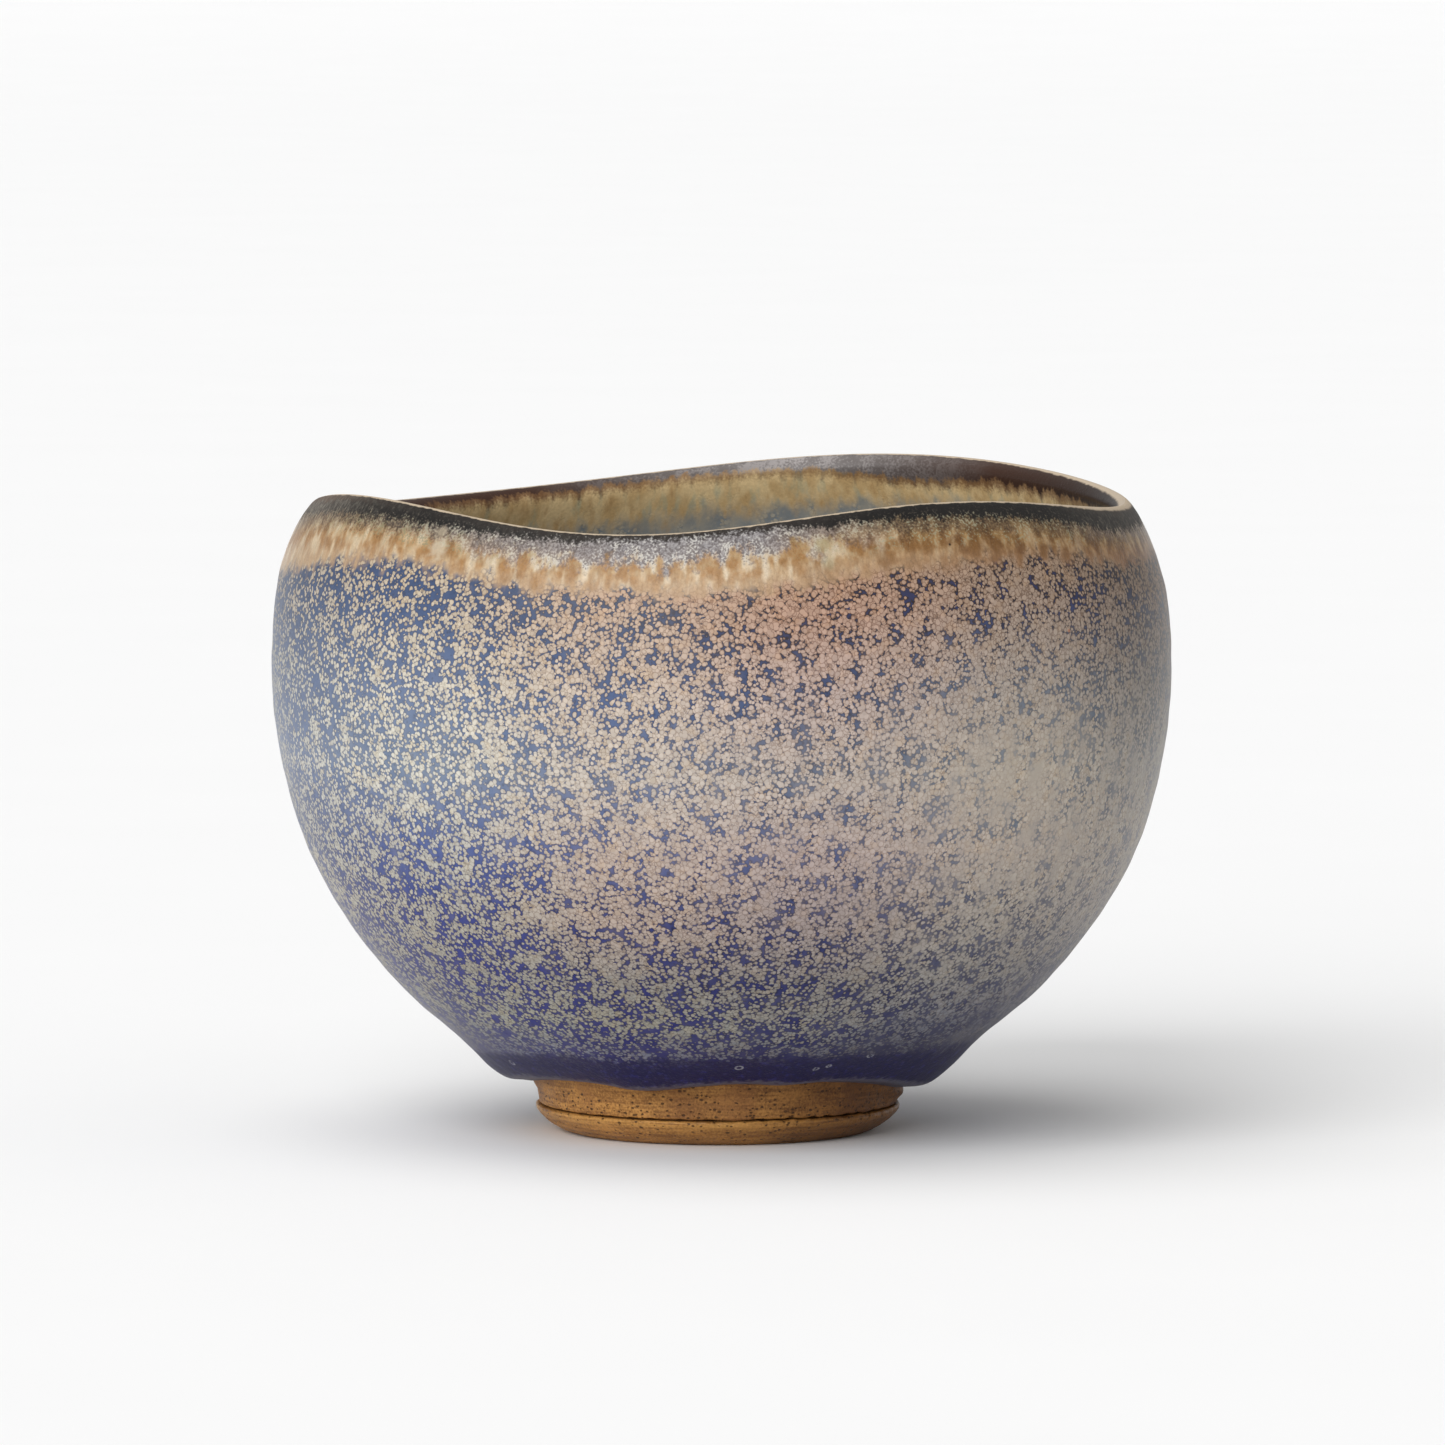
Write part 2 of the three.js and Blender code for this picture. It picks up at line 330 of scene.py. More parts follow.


# ---------------- how the melt changes round the bowl

# Each column is (degrees, rows). Each row is (height, share of grains, haze, depth of the crevices,
# colour of the ground, colour of the grains), with the colours as sRGB out of 255. On the side that the
# photo shows, the colours were typed from ones that a scratch program had measured in the photo, and then
# changed by hand. The last column, for the back, is made up.
# The crevice column sets how dark the painted shade in the gaps between grains is, and also deepens the
# grains' own dark outlines.
MELT_OUTSIDE = (
    # Painted sheen: near a height of 50, this column and the next, at -42, are lightened.
    (-75, (
        (10, 0.4, 0.3, 0.4, (44, 40, 92), (95, 95, 110)),
        (17, 0.42, 0.15, 0.5, (45, 50, 112), (146, 143, 134)),
        (23, 0.42, 0.12, 0.5, (47, 52, 114), (155, 152, 142)),
        (31, 0.42, 0.1, 0.45, (54, 62, 118), (173, 169, 156)),
        (40, 0.4, 0.1, 0.35, (76, 88, 122), (172, 170, 162)),
        (50, 0.35, 0.12, 0.3, (98, 112, 140), (182, 181, 175)),
        (60, 0.3, 0.1, 0.3, (82, 96, 124), (172, 171, 162)),
        (70, 0.27, 0.06, 0.35, (62, 76, 102), (160, 152, 140)),
        (76, 0.24, 0.06, 0.35, (56, 68, 90), (154, 145, 130)),
    )),
    (-42, (
        (10, 0.3, 0.2, 0.5, (40, 36, 98), (114, 118, 140)),
        (17, 0.44, 0.12, 0.6, (37, 41, 111), (154, 152, 137)),
        (23, 0.47, 0.1, 0.6, (37, 42, 116), (148, 145, 134)),
        (31, 0.49, 0.1, 0.55, (44, 54, 121), (157, 153, 142)),
        (40, 0.45, 0.12, 0.4, (69, 84, 136), (167, 165, 157)),
        (50, 0.45, 0.13, 0.3, (106, 120, 142), (190, 187, 176)),
        (60, 0.44, 0.06, 0.3, (94, 108, 136), (185, 180, 167)),
        (70, 0.4, 0.04, 0.35, (66, 82, 114), (171, 160, 143)),
        (76, 0.32, 0.04, 0.35, (56, 70, 98), (164, 150, 130)),
    )),
    (-13, (
        (10, 0.3, 0.2, 0.6, (28, 22, 84), (98, 100, 128)),
        (17, 0.47, 0.14, 0.7, (32, 35, 104), (149, 145, 130)),
        (23, 0.52, 0.1, 0.75, (34, 38, 98), (140, 135, 127)),
        (31, 0.6, 0.12, 0.7, (44, 51, 103), (160, 145, 135)),
        (40, 0.61, 0.14, 0.5, (70, 82, 127), (170, 155, 144)),
        (50, 0.59, 0.15, 0.4, (92, 104, 132), (177, 168, 158)),
        (60, 0.55, 0.09, 0.45, (68, 86, 122), (176, 163, 150)),
        (70, 0.56, 0.04, 0.55, (56, 68, 96), (166, 147, 131)),
        (76, 0.58, 0.06, 0.55, (58, 68, 88), (162, 135, 113)),
    )),
    (12, (
        (10, 0.3, 0.2, 0.7, (22, 18, 74), (92, 94, 116)),
        (17, 0.46, 0.18, 0.8, (32, 35, 92), (144, 141, 132)),
        (23, 0.5, 0.14, 0.85, (34, 38, 90), (136, 131, 125)),
        (31, 0.59, 0.18, 0.8, (42, 49, 95), (152, 140, 136)),
        (40, 0.61, 0.2, 0.6, (70, 80, 119), (164, 149, 143)),
        (50, 0.59, 0.22, 0.5, (86, 96, 116), (172, 161, 152)),
        (60, 0.57, 0.12, 0.65, (62, 74, 104), (169, 152, 144)),
        (70, 0.65, 0.04, 1, (48, 52, 80), (162, 133, 116)),
        (76, 0.68, 0.04, 0.95, (46, 48, 62), (154, 124, 102)),
    )),
    (42, (
        (10, 0.3, 0.25, 0.6, (26, 20, 64), (82, 80, 92)),
        (17, 0.48, 0.25, 0.7, (38, 40, 80), (120, 120, 126)),
        (23, 0.51, 0.25, 0.7, (44, 48, 84), (148, 144, 138)),
        (31, 0.6, 0.3, 0.5, (70, 74, 98), (160, 153, 144)),
        (40, 0.69, 0.44, 0.3, (106, 112, 124), (172, 161, 150)),
        (50, 0.69, 0.44, 0.25, (108, 117, 128), (174, 164, 151)),
        (60, 0.63, 0.24, 0.6, (84, 98, 118), (161, 151, 141)),
        (70, 0.62, 0.03, 1, (44, 52, 92), (152, 134, 120)),
        (76, 0.62, 0.03, 1, (44, 44, 62), (146, 123, 102)),
    )),
    # Painted shade: the upper rows of this column are darkened.
    (70, (
        (10, 0.35, 0.3, 0.5, (34, 30, 70), (84, 82, 92)),
        (17, 0.48, 0.3, 0.6, (46, 48, 82), (122, 120, 126)),
        (23, 0.51, 0.3, 0.6, (60, 62, 90), (142, 138, 134)),
        (31, 0.57, 0.35, 0.45, (88, 90, 102), (160, 152, 144)),
        (40, 0.62, 0.36, 0.35, (98, 102, 114), (163, 155, 145)),
        (50, 0.58, 0.34, 0.35, (88, 92, 102), (153, 147, 139)),
        (60, 0.49, 0.14, 0.7, (68, 74, 86), (130, 123, 115)),
        (70, 0.49, 0.03, 1, (42, 46, 66), (125, 111, 99)),
        (76, 0.47, 0.03, 1, (44, 44, 48), (124, 106, 88)),
    )),
    (165, (
        (10, 0.3, 0.2, 0.5, (30, 24, 76), (86, 84, 100)),
        (17, 0.46, 0.14, 0.6, (40, 42, 90), (144, 142, 142)),
        (23, 0.48, 0.1, 0.6, (40, 44, 90), (150, 147, 141)),
        (31, 0.52, 0.08, 0.6, (48, 54, 100), (160, 155, 146)),
        (40, 0.55, 0.08, 0.45, (74, 84, 122), (172, 165, 154)),
        (50, 0.54, 0.08, 0.35, (98, 110, 138), (180, 174, 163)),
        (60, 0.5, 0.06, 0.4, (82, 98, 132), (180, 171, 157)),
        (70, 0.48, 0.04, 0.45, (58, 74, 112), (172, 159, 143)),
        (76, 0.4, 0.04, 0.4, (52, 64, 96), (166, 149, 128)),
    )),
)

# Inside, the same glaze pooled thicker and lost most of its grains.
MELT_INSIDE = (
    (0, (
        (11, 0.4, 0.85, 0.0, (60, 76, 94), (116, 122, 126)),
        (16, 0.4, 0.8, 0.0, (68, 84, 102), (126, 130, 130)),
        (36, 0.45, 0.75, 0.0, (76, 90, 108), (140, 138, 132)),
        (62, 0.5, 0.75, 0.0, (92, 104, 120), (156, 152, 142)),
        (76, 0.45, 0.8, 0.0, (114, 122, 128), (158, 152, 138)),
    )),
)

# Colours of the glazes outside their table, as sRGB out of 255. They were
# set after looking at colours measured in the photo.
# Painted shade in the gaps next to the grains, low and high on the wall
GAP_SHADE_LOW = (26, 26, 44)
GAP_SHADE_HIGH = (46, 38, 36)
COBALT = (5, 0, 58)
COBALT_STREAK = (50, 48, 126)
HEEL_FRINGE = (104, 102, 112)
BUBBLE_RIM = (150, 150, 158)
LEFT_AMBER = ((146, 109, 67), (171, 143, 105))
RIGHT_AMBER = ((110, 77, 42), (152, 120, 75))
THIN_AMBER = ((176, 154, 128), (152, 118, 90))
PALE_DRIP = ((192, 174, 144), (212, 200, 178))
BROWN_SPOT = (92, 60, 34)
UNDER_SOOT = ((52, 44, 34), (96, 80, 52))
CELADON = ((116, 116, 92), (140, 154, 136))
FROST = ((96, 92, 94), (138, 136, 138))
FROST_FLECK = (184, 182, 176)
SMOKE = ((84, 78, 72), (128, 122, 112))
SOOT = ((4, 3, 3), (32, 30, 28))
ASH = (96, 88, 78)
BROWN_RIM = (96, 78, 66)
INNER_AMBER = ((184, 154, 108), (208, 182, 136))
INNER_CELADON = (166, 168, 140)
INNER_BROWN = (144, 104, 60)
RUST = (88, 52, 30)
SILVER = ((112, 106, 104), (150, 144, 142))
INNER_SOOT = ((22, 19, 18), (66, 44, 34))
CREST_LINE = (190, 172, 148)

# Round the lip outside: (degrees, width of the dark band, frost, its warmth, half width of the pale
# crest line, celadon)
LIP_OUTSIDE = (
    (-90, 3.4, 0.15, 0.9, 0.35, 0.3),
    (-72, 3.6, 0.15, 0.8, 0.35, 0.4),
    # At -58 and -45 the crest line is widened as a painted highlight.
    (-58, 3.2, 0.1, 0.2, 0.45, 0.8),
    (-45, 2.7, 0.2, 0.05, 0.45, 0.9),
    (-30, 2.2, 0.7, 0.1, 0.4, 0.5),
    (-12, 1.5, 1.0, 0.1, 0.4, 0.2),
    (5, 1.5, 1.0, 0.1, 0.4, 0.2),
    (14, 2.2, 0.5, 0.05, 0.4, 0.4),
    (24, 2.6, 0.1, 0.0, 0.4, 0.8),
    (50, 3.2, 0.05, 0.0, 0.5, 0.6),
    (66, 4.2, 0.3, 0.2, 0.9, 0.3),
    (90, 3.4, 0.3, 0.3, 1.1, 0.3),
    (120, 3.0, 0.2, 0.2, 0.7, 0.3),
    (165, 2.8, 0.3, 0.2, 0.4, 0.4),
    (215, 2.8, 0.4, 0.6, 0.35, 0.4),
)

# Round the lip inside: (degrees, width of the dark band, silver sheen, rust)
LIP_INSIDE = (
    (-150, 1.6, 0.0, 0.9),
    (-120, 1.8, 0.0, 0.9),
    (-60, 2.2, 0.1, 0.6),
    (0, 2.5, 0.2, 0.5),
    (60, 3.4, 0.0, 0.1),
    (100, 3.6, 0.0, 0.2),
    (135, 3.4, 0.0, 0.8),
    (150, 4.1, 0.4, 0.7),
    (168, 2.2, 1.0, 0.2),
    (185, 1.8, 0.6, 0.5),
)


def linear(color):
    """sRGB out of 255 to linear light."""
    share = np.asarray(color, float) / 255.0
    return np.where(share <= 0.04045, share / 12.92, ((share + 0.055) / 1.055) ** 2.4)


def column_at(rows, height):
    """The column's share, haze, crevices, ground and grain, side by side, at an array of heights."""
    table = np.array([(*row[:4], *linear(row[4]), *linear(row[5])) for row in rows])
    heights, columns = table[:, 0], table[:, 1:].T
    return np.stack([np.interp(height, heights, values) for values in columns], axis=-1)


def melt_fields(columns, height, angle):
    """Blend the columns round the bowl, each fading into the next."""
    total, weight_sum = 0.0, 0.0
    places = [column[0] for column in columns]
    for index, (place, rows) in enumerate(columns):
        before = (place - places[index - 1]) % 360 or 360
        after = (places[(index + 1) % len(places)] - place) % 360 or 360
        turn = turn_from(angle, place)
        weight = np.where(turn < 0, 1 - smoothstep(-turn, 0, before), 1 - smoothstep(turn, 0, after))
        weight = np.maximum(weight, 1e-6)
        total = total + weight[..., None] * column_at(rows, height)
        weight_sum = weight_sum + weight
    mixed = total / weight_sum[..., None]
    numbers = {name: mixed[..., k] for k, name in enumerate(("grain_share", "haze", "crevice"))}
    return {**numbers, "ground": mixed[..., 3:6], "grain": mixed[..., 6:9]}


def ring_fields(table, names, angle):
    """One field for each name, read round the bowl from the table's columns."""
    turn = (np.degrees(angle) + 90.0 - table[0][0]) % 360.0
    at = [row[0] - table[0][0] for row in table] + [360.0]
    values = {name: [row[k] for row in table] for k, name in enumerate(names, start=1)}
    return {name: np.interp(turn, at, column + column[:1]) for name, column in values.items()}


def surface_fields(distance, angle):
    """Every field that the glazes' materials read, for points at a distance along the surface."""
    height = under_surface(distance, 0)[1]
    angle = np.broadcast_to(angle, distance.shape)
    outside = melt_fields(MELT_OUTSIDE, height, angle)
    inside = melt_fields(MELT_INSIDE, height, angle)
    inner = smoothstep(distance, CREST - 1, CREST + 1)
    fields = {}
    for key, value in outside.items():
        share = inner[..., None] if value.ndim == 3 else inner
        fields[key] = value * (1 - share) + inside[key] * share
    lip_names = ("soot_width", "frost", "warmth", "crest_width", "celadon")
    fields.update(ring_fields(LIP_OUTSIDE, lip_names, angle))
    fields.update(ring_fields(LIP_INSIDE, ("inner_soot", "silver", "rust"), angle))
    turn = turn_from(angle, 0)
    fields["below_lip"] = CREST - distance
    fields["above_heel"] = distance
    fields["right_side"] = smoothstep(turn, 2, 42) * (1 - smoothstep(turn, 90, 150))
    fields["amber_end"] = IRON_DEPTH_OUTSIDE + wave_height(IRON_EDGE_WAVES, angle)
    for middle, half_width, longer in AMBER_SWELLS:
        fields["amber_end"] = fields["amber_end"] + longer * bell(turn, middle, half_width)
    return fields


def face_relief(distance, angle):
    """How far the glaze's face stands out, from throwing rings and the melt's own waves."""
    turn = angle / (2 * math.pi)
    rings = 0.02 * np.sin(2 * math.pi * (distance / 6.3 + turn))
    rings = rings + 0.012 * np.sin(2 * math.pi * (distance / 3.7 - turn) + 1.3)
    runs = 0.014 * np.sin(23 * angle + 0.3 * distance) * np.sin(11 * angle - 0.1 * distance + 2)
    return (rings + runs) * smoothstep(np.abs(distance - CREST), 2.0, 8.0)


# ---------------- clay and glaze pieces

ROUND = angles_round(GLAZE_STEPS_AROUND)


def coat(name, start, end, rows, on_axis=False):
    """A glaze coat with its face on the glazed surface and its back under it."""
    face_at = steps_between(start, end, rows, GLAZE_STEPS_AROUND)
    back_at = steps_between(end, start, rows // FACE_ROWS_PER_BACK_ROW, GLAZE_STEPS_AROUND)
    face = under_surface(face_at, -face_relief(face_at, ROUND))
    back = under_surface(back_at, coat_thickness(back_at))
    order = ((back, back_at), (face, face_at)) if on_axis else ((face, face_at), (back, back_at))
    radius = np.vstack([part[0] for part, _ in order])
    height = np.vstack([part[1] for part, _ in order])
    if on_axis:
        radius[0], radius[-1] = 0.0, 0.0
    fields = surface_fields(np.vstack([at for _, at in order]), ROUND)
    return turned(name, radius, height, not on_axis, fields)


def speckled_coat():
    return coat("speckled_coat", HEEL_OVERRUN, iron_edges(ROUND)[0], SPECKLED_ROWS)


def iron_coat():
    outside, inside = iron_edges(ROUND)
    return coat("iron_coat", outside, inside, IRON_ROWS)


def inside_coat():
    return coat("inside_coat", iron_edges(ROUND)[1], SURFACE_LENGTH, INSIDE_ROWS, on_axis=True)


def sampled(outline, step):
    """Points at even steps along an outline of (radius, height) corners, with its corners kept."""
    out = []
    for start, end in zip(outline, outline[1:]):
        count = max(1, round(math.dist(start, end) / step))
        shares = np.arange(count)[:, None] / count
        out.append(np.array(start) + (np.array(end) - np.array(start)) * shares)
    return np.vstack(out + [np.array(outline[-1:])])


def rough(radius, height, angle, size, seed):
    """Noise over the turned surface, between about -1 and 1, whose lumps are about size across."""
    x, y = radius * np.cos(angle), radius * np.sin(angle)
    points = np.stack([x, y, np.broadcast_to(height, x.shape)], axis=-1).reshape(-1, 3) / size
    shift = Vector((seed * 17.3, seed * 5.1, seed * 9.7))
    values = [noise.noise(Vector(point) + shift) for point in points]
    return np.array(values).reshape(x.shape)


def grit(radius, height, angle, seed):
    """The marks of the tool and the sand in the clay, in millimetres, on the outside of the foot."""
    fine = 0.05 * rough(radius, height, angle, 0.9, seed)
    return (fine + 0.1 * rough(radius, height, angle, 3.8, seed + 1)) * smoothstep(radius, 15, 21)


def spread(base, around):
    """Radius and height arrays from the points of one outline."""
    return np.repeat(base[:, :1], around, axis=1), np.repeat(base[:, 1:], around, axis=1)


def seam_rough(radius, angle, size, seed):
    """Noise that changes round the bowl only, so that every row of an edge moves as one."""
    level = np.zeros_like(radius)
    return rough(level + SEAM_RADIUS, level, angle, size, seed)


def raggedness(angle):
    """How ragged the seam between neck and ring is, from 0 to 1."""
    return 0.3 + 0.7 * bell(turn_from(angle, RAGGED_MIDDLE), 0, RAGGED_HALF_WIDTH)


def thrown_clay():
    under_glaze = steps_between(0.0, SURFACE_LENGTH, CLAY_ROWS, 1)
    hidden = under_surface(under_glaze, coat_thickness(under_glaze) + CLAY_GAP)
    base = np.vstack([sampled(NECK, NECK_STEP), np.column_stack([part.ravel() for part in hidden])])
    radius, height = spread(base, GLAZE_STEPS_AROUND)
    shown = 1 - smoothstep(height, 7.2, 8.2)
    smear = 0.85 * bell(turn_from(ROUND, 80), 0, 9) * bell(height, 5.2, 1.0)
    smear = smear * smoothstep(radius, 15, 21)
    radius = radius + (grit(radius, height, ROUND, 3) + smear) * shown
    lower_edge = smoothstep(radius, 22, 22.9) * bell(height, 3.6, 0.5) * raggedness(ROUND)
    height = height + 0.3 * lower_edge * seam_rough(radius, ROUND, 1.3, 12)
    radius[0], radius[-1] = 0.0, 0.0
    return turned("thrown_clay", radius, height, False)


def foot_ring():
    angle = angles_round(FOOT_STEPS_AROUND)
    radius, height = spread(sampled(FOOT, FOOT_STEP)[:-1], FOOT_STEPS_AROUND)
    radius = radius + grit(radius, height, angle, 6)
    upper_edge = smoothstep(radius, 22.4, 23.2) * smoothstep(height, 2.6, 3.2) * raggedness(angle)
    radius = radius - 0.3 * upper_edge * bell(turn_from(angle, 60), 0, 40)
    radius = radius + 0.16 * upper_edge * seam_rough(radius, angle, 0.5, 21)
    height = height + 0.22 * upper_edge * seam_rough(radius, angle, 1.1, 14)
    return turned("turned_foot", radius, height, True)


def slip_bead():
    angle = angles_round(FOOT_STEPS_AROUND)
    radius, height = spread(sampled(SLIP, SLIP_STEP)[:-1], FOOT_STEPS_AROUND)
    lump = seam_rough(radius, angle, 1.4, 8) + 0.5 * seam_rough(radius, angle, 0.6, 9)
    radius = radius + 0.3 * smoothstep(radius, 21, 22.8) * lump * raggedness(angle)
    return turned("slip_bead", radius, height, True)


# ---------------- materials


class Graph:
    """Short names for a material's nodes. Lengths are in millimetres, and colours sRGB out of 255."""

    def __init__(self, name):
        self.material = bpy.data.materials.new(name)
        self.material.use_nodes = True
        self.tree = self.material.node_tree
        self.shader = self.tree.nodes["Principled BSDF"]
        place = self.node("ShaderNodeTexCoord").outputs["Object"]
        self.place = self.vector("MULTIPLY", place, (1 / MM, 1 / MM, 1 / MM))

    def node(self, kind, **settings):
        made = self.tree.nodes.new(kind)
        for key, value in settings.items():
            setattr(made, key, value)
        return made

    def feed(self, socket, value):
        if isinstance(value, bpy.types.NodeSocket):
            self.tree.links.new(value, socket)
        elif hasattr(socket.default_value, "__len__") and len(socket.default_value) == 4:
            socket.default_value = (*linear(value).tolist(), 1.0)
        else:
            socket.default_value = value

    def vector(self, operation, a, b):
        made = self.node("ShaderNodeVectorMath", operation=operation)
        self.feed(made.inputs[0], a)
        self.feed(made.inputs[1], b)
        return made.outputs[0]

    def math(self, operation, a, b=0.0, clamp=False):
        made = self.node("ShaderNodeMath", operation=operation, use_clamp=clamp)
        self.feed(made.inputs[0], a)
        self.feed(made.inputs[1], b)
        return made.outputs[0]

    def plus(self, *parts):
        total = parts[0]
        for part in parts[1:]:
            total = self.math("ADD", total, part)
        return total

    def minus(self, a, b):
        return self.math("SUBTRACT", a, b)

    def times(self, *parts):
        total = parts[0]
        for part in parts[1:]:
            total = self.math("MULTIPLY", total, part)
        return total

    def fade(self, value, low, high, start=0.0, end=1.0):
        """Start up to low, end from high on, and smooth between them."""
        made = self.node("ShaderNodeMapRange", interpolation_type="SMOOTHSTEP")
        for socket, number in zip(made.inputs, (value, low, high, start, end)):
            self.feed(socket, number)
        return made.outputs[0]

    def until(self, value, low, high):
        """1 up to low, 0 from high on."""
        return self.fade(value, low, high, 1.0, 0.0)

    def field(self, name):
        return self.node("ShaderNodeAttribute", attribute_name=name).outputs["Fac"]

    def tint(self, name):
        return self.node("ShaderNodeAttribute", attribute_name=name).outputs["Color"]

    def noise(self, size, detail=2.0, stretch=None, swing=1.0, seed=0.0):
        """Smooth noise round 0, mostly within half of swing, whose lumps are about size across."""
        vector = self.vector("MULTIPLY", self.place, stretch) if stretch else self.place
        if seed:
            vector = self.vector("ADD", vector, (seed * 31.0, seed * 17.0, seed * 23.0))
        made = self.node("ShaderNodeTexNoise")
        self.feed(made.inputs["Vector"], vector)
        made.inputs["Scale"].default_value = 1.0 / size
        made.inputs["Detail"].default_value = detail
        return self.times(self.minus(made.outputs["Fac"], 0.5), 2.0 * swing)

    def cells(self, size, vector=None, randomness=1.0):
        """Distance to the nearest seed as a share of size, and random numbers for each cell."""
        made = self.node("ShaderNodeTexVoronoi")
        self.feed(made.inputs["Vector"], vector or self.place)
        made.inputs["Scale"].default_value = 1.0 / size
        made.inputs["Randomness"].default_value = randomness
        parts = self.node("ShaderNodeSeparateColor")
        self.feed(parts.inputs[0], made.outputs["Color"])
        return made.outputs["Distance"], parts.outputs

    def away(self, point):
        """Distance from a point given in millimetres."""
        made = self.node("ShaderNodeVectorMath", operation="DISTANCE")
        self.feed(made.inputs[0], self.place)
        self.feed(made.inputs[1], point)
        return made.outputs["Value"]

    def coordinate(self, axis):
        parts = self.node("ShaderNodeSeparateXYZ")
        self.feed(parts.inputs[0], self.place)
        return parts.outputs[axis]

    def mix(self, share, a, b):
        made = self.node("ShaderNodeMix", data_type="RGBA")
        for socket, value in ((made.inputs[0], share), (made.inputs[6], a), (made.inputs[7], b)):
            self.feed(socket, value)
        return made.outputs[2]

    def between(self, share, a, b):
        """A number a share of the way from a to b."""
        made = self.node("ShaderNodeMix", data_type="FLOAT")
        for socket, value in ((made.inputs[0], share), (made.inputs[2], a), (made.inputs[3], b)):
            self.feed(socket, value)
        return made.outputs[0]

    def shade(self, color, factor):
        """A colour made lighter or darker by a factor."""
        made = self.node("ShaderNodeVectorMath", operation="SCALE")
        self.feed(made.inputs[0], color)
        self.feed(made.inputs["Scale"], factor)
        return made.outputs[0]

    def finish(self, color, roughness, height=None, specular=0.2):
        self.shader.inputs["Specular IOR Level"].default_value = specular
        self.feed(self.shader.inputs["Base Color"], color)
        self.feed(self.shader.inputs["Roughness"], roughness)
        if height is not None:
            bump = self.node("ShaderNodeBump")
            bump.inputs["Distance"].default_value = MM
            self.feed(bump.inputs["Height"], height)
            self.feed(self.shader.inputs["Normal"], bump.outputs[0])
        return self.material


def warped_place(g):
    """Places pushed a little out of line, so that round things on them come out uneven."""
    warp = g.node("ShaderNodeTexNoise")
    warp.inputs["Scale"].default_value = 1.0 / 0.6
    warp.inputs["Detail"].default_value = 0.0
    g.feed(warp.inputs["Vector"], g.place)
    push = g.vector("SUBTRACT", warp.outputs["Color"], (0.5, 0.5, 0.5))
    return g.vector("ADD", g.place, g.vector("MULTIPLY", push, (0.25, 0.25, 0.25)))


def grain_layer(g, place, size, share, seed):
    """Distance from the middle of a point's grain, as a share of its radius, and the grain's tone."""
    turned_place = g.node("ShaderNodeVectorRotate", rotation_type="EULER_XYZ")
    g.feed(turned_place.inputs["Vector"], place)
    g.feed(turned_place.inputs["Rotation"], (0.5 * seed, 0.9 * seed, 0.3 * seed))
    moved = g.vector("ADD", turned_place.outputs[0], (seed * 13.7, seed * 7.9, seed * 3.3))
    distance, random = g.cells(size, moved, randomness=0.9)
    grown = g.fade(share, 0.35, 0.85, 0.0, 0.15)
    reach = g.plus(g.times(random[1], 0.1), 0.33, grown)
    absent = g.math("GREATER_THAN", random[0], g.times(share, 1.4))
    return g.plus(g.math("DIVIDE", distance, reach), g.times(absent, 10.0)), random[2]


def piled_grains(g, share):
    """How far a point is from its nearest grain, and the outline and tone of the grain on top there."""
    place = warped_place(g)
    nearest, outline, tone = 10.0, 0.0, 0.5
    for seed, size in enumerate(GRAIN_SIZES, start=1):
        off_grain, own_tone = grain_layer(g, place, size, share, seed)
        on_grain = g.until(off_grain, 0.95, 1.03)
        outline = g.between(on_grain, outline, g.fade(off_grain, 0.68, 0.98))
        tone = g.between(on_grain, tone, own_tone)
        nearest = g.math("MINIMUM", nearest, off_grain)
    return nearest, outline, tone


def speckle(g):
    """Tan grains that float on a blue ground, cluster, and melt into a haze."""
    clumps = g.plus(g.noise(2.2, detail=0.0, swing=0.36), g.noise(7.0, detail=1.0, swing=0.12, seed=1))
    share = g.plus(g.field("grain_share"), clumps)
    off_grain, outline, tone = piled_grains(g, share)
    grain = g.until(off_grain, 0.95, 1.05)
    # The crevice field sets how dark the painted shade in the gaps next to grains is.
    crevice = g.field("crevice")
    high = g.fade(g.field("above_heel"), 30.0, 52.0)
    ground = g.shade(g.tint("ground"), g.plus(1.0, g.noise(1.6, detail=2.0, swing=0.2)))
    shadow = g.mix(high, GAP_SHADE_LOW, GAP_SHADE_HIGH)
    ground = g.mix(g.times(g.until(off_grain, 1.05, 1.55), crevice), ground, shadow)
    body = g.shade(g.tint("grain"), g.plus(0.96, g.times(tone, 0.24)))
    creamy = g.vector("MULTIPLY", body, (0.99, 0.89, 0.74))
    body = g.mix(g.times(g.fade(g.noise(1.4, seed=2), 0.04, 0.3), 0.5), body, creamy)
    bluish = g.vector("MULTIPLY", body, (0.7, 0.8, 0.98))
    low = g.until(g.field("above_heel"), 12.0, 40.0)
    cool = g.fade(g.noise(1.1, detail=1.0, seed=6), -0.08, 0.26)
    body = g.mix(g.times(cool, low, 0.62), body, bluish)
    dark_body = g.vector("MULTIPLY", body, (0.34, 0.25, 0.2))
    body = g.mix(g.times(outline, g.plus(0.42, g.times(crevice, 0.4))), body, dark_body)
    color = g.mix(grain, ground, body)
    blurred = g.mix(g.fade(share, 0.1, 0.8, 0.25, 0.95), g.tint("ground"), g.tint("grain"))
    run = g.noise(1.9, detail=2.0, stretch=(1, 1, 0.3), swing=1.1)
    haze = g.math("MULTIPLY", g.field("haze"), g.plus(1.0, g.times(run, 2.2)), clamp=True)
    color = g.mix(haze, color, g.shade(blurred, 0.92))
    height = g.times(grain, g.minus(1.0, haze), g.minus(1.0, g.times(outline, 0.6)), 0.02)
    return color, height, g.plus(0.36, g.times(grain, 0.06))


